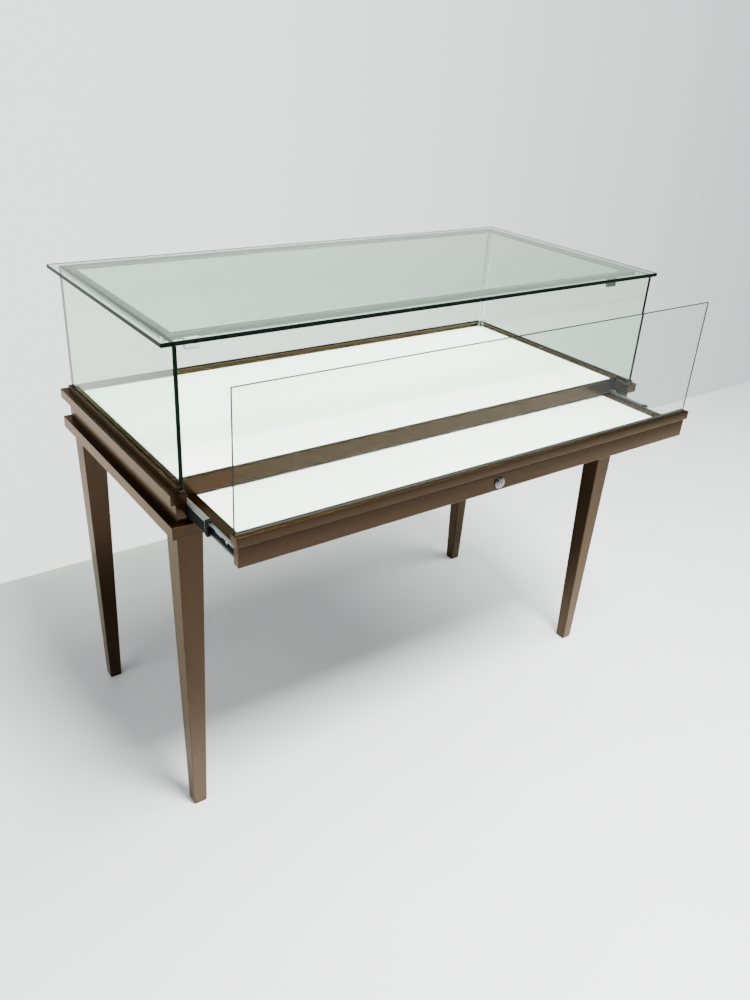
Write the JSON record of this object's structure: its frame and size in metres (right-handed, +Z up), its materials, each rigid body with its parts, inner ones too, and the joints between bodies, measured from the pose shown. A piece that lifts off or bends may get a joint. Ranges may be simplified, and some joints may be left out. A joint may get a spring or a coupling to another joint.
{
  "type": "jewelry display cabinet",
  "caption": "Long glass display case on four tapered bronze legs, with a lockable pull-out drawer that carries the sliding front pane and LED channels under the glass top",
  "frame": {"origin": "On the floor, under the centre of the part's box as pictured, with the drawer pulled out 178 mm", "axes": "+X along the case, with the cable cover at its +X end; +Y from the drawer to the rear pane; +Z up"},
  "size_m": [1.2, 0.747, 1.025],
  "materials": {
    "bronze_legs": "satin bronze",
    "bronze_boards": "board cores wrapped in satin bronze metal laminate",
    "black_plastic": "moulded matt black",
    "white_board": "white faced board",
    "white_plastic": "satin white",
    "clear_acrylic": "extruded clear acrylic",
    "clear_glass": "polished clear, green edges",
    "black_rubber": "matt black",
    "aluminium": "anodised",
    "led_tape": "white tape with yellow diodes",
    "zinc_steel": "bright zinc plated",
    "chrome": "polished nickel-chrome"
  },
  "bodies": {
    "cabinet": {"leg_front_left": "bronze_legs", "leg_front_right": "bronze_legs", "leg_rear_left": "bronze_legs", "leg_rear_right": "bronze_legs", "foot_front_left": "black_plastic", "foot_front_right": "black_plastic", "foot_rear_left": "black_plastic", "foot_rear_right": "black_plastic", "power_inlet": "black_plastic", "base_front_rail": "bronze_boards", "base_rear_rail": "bronze_boards", "base_left_rail": "bronze_boards", "base_right_rail": "bronze_boards", "fascia_left": "bronze_boards", "fascia_right": "bronze_boards", "fascia_rear": "bronze_boards", "cornice_left": "bronze_boards", "cornice_right": "bronze_boards", "cornice_rear": "bronze_boards", "front_rail": "bronze_boards", "inner_strip_left": "bronze_boards", "inner_strip_right": "bronze_boards", "inner_strip_rear": "bronze_boards", "base_panel": "white_board", "deck": "white_board", "led_driver": "white_plastic", "cable_cover": "clear_acrylic", "glass_left": "clear_glass", "glass_right": "clear_glass", "glass_rear": "clear_glass", "glass_top": "clear_glass", "seat_left": "black_rubber", "seat_right": "black_rubber", "seat_rear": "black_rubber", "pane_stop_left": "black_rubber", "pane_stop_right": "black_rubber", "led_channel_front": "aluminium", "led_channel_rear": "aluminium", "led_channel_left": "aluminium", "led_channel_right": "aluminium", "led_tape_front": "led_tape", "led_tape_rear": "led_tape", "led_tape_left": "led_tape", "led_tape_right": "led_tape", "slide_outer_left": "zinc_steel", "slide_outer_right": "zinc_steel"},
    "drawer": {"drawer_front": "bronze_boards", "drawer_side_left": "bronze_boards", "drawer_side_right": "bronze_boards", "drawer_rear": "bronze_boards", "drawer_panel": "white_board", "front_pane": "clear_glass", "slide_inner_left": "zinc_steel", "slide_inner_right": "zinc_steel", "lock_body": "chrome"},
    "slide_left": {"slide_middle_left": "zinc_steel"},
    "slide_right": {"slide_middle_right": "zinc_steel"},
    "lock": {"lock_plug": "chrome", "lock_cam": "zinc_steel"}
  },
  "joints": [
    {"name": "drawer_slide", "type": "slide", "parent": "cabinet", "child": "drawer", "axis": [0, 1, 0], "range_m": [-0.222, 0.178]},
    {"name": "slide_left_run", "type": "slide", "parent": "cabinet", "child": "slide_left", "axis": [0, 1, 0], "range_m": [-0.111, 0.089]},
    {"name": "slide_right_run", "type": "slide", "parent": "cabinet", "child": "slide_right", "axis": [0, 1, 0], "range_m": [-0.111, 0.089]},
    {"name": "lock_turn", "type": "hinge", "parent": "drawer", "child": "lock", "pos_m": [0, -0.3675, 0.7155], "axis": [0, 1, 0], "range_deg": [0, 90]}
  ],
  "couplings": [
    {"joint": "slide_left_run", "follows": "drawer_slide", "ratio": 0.5},
    {"joint": "slide_right_run", "follows": "drawer_slide", "ratio": 0.5}
  ]
}
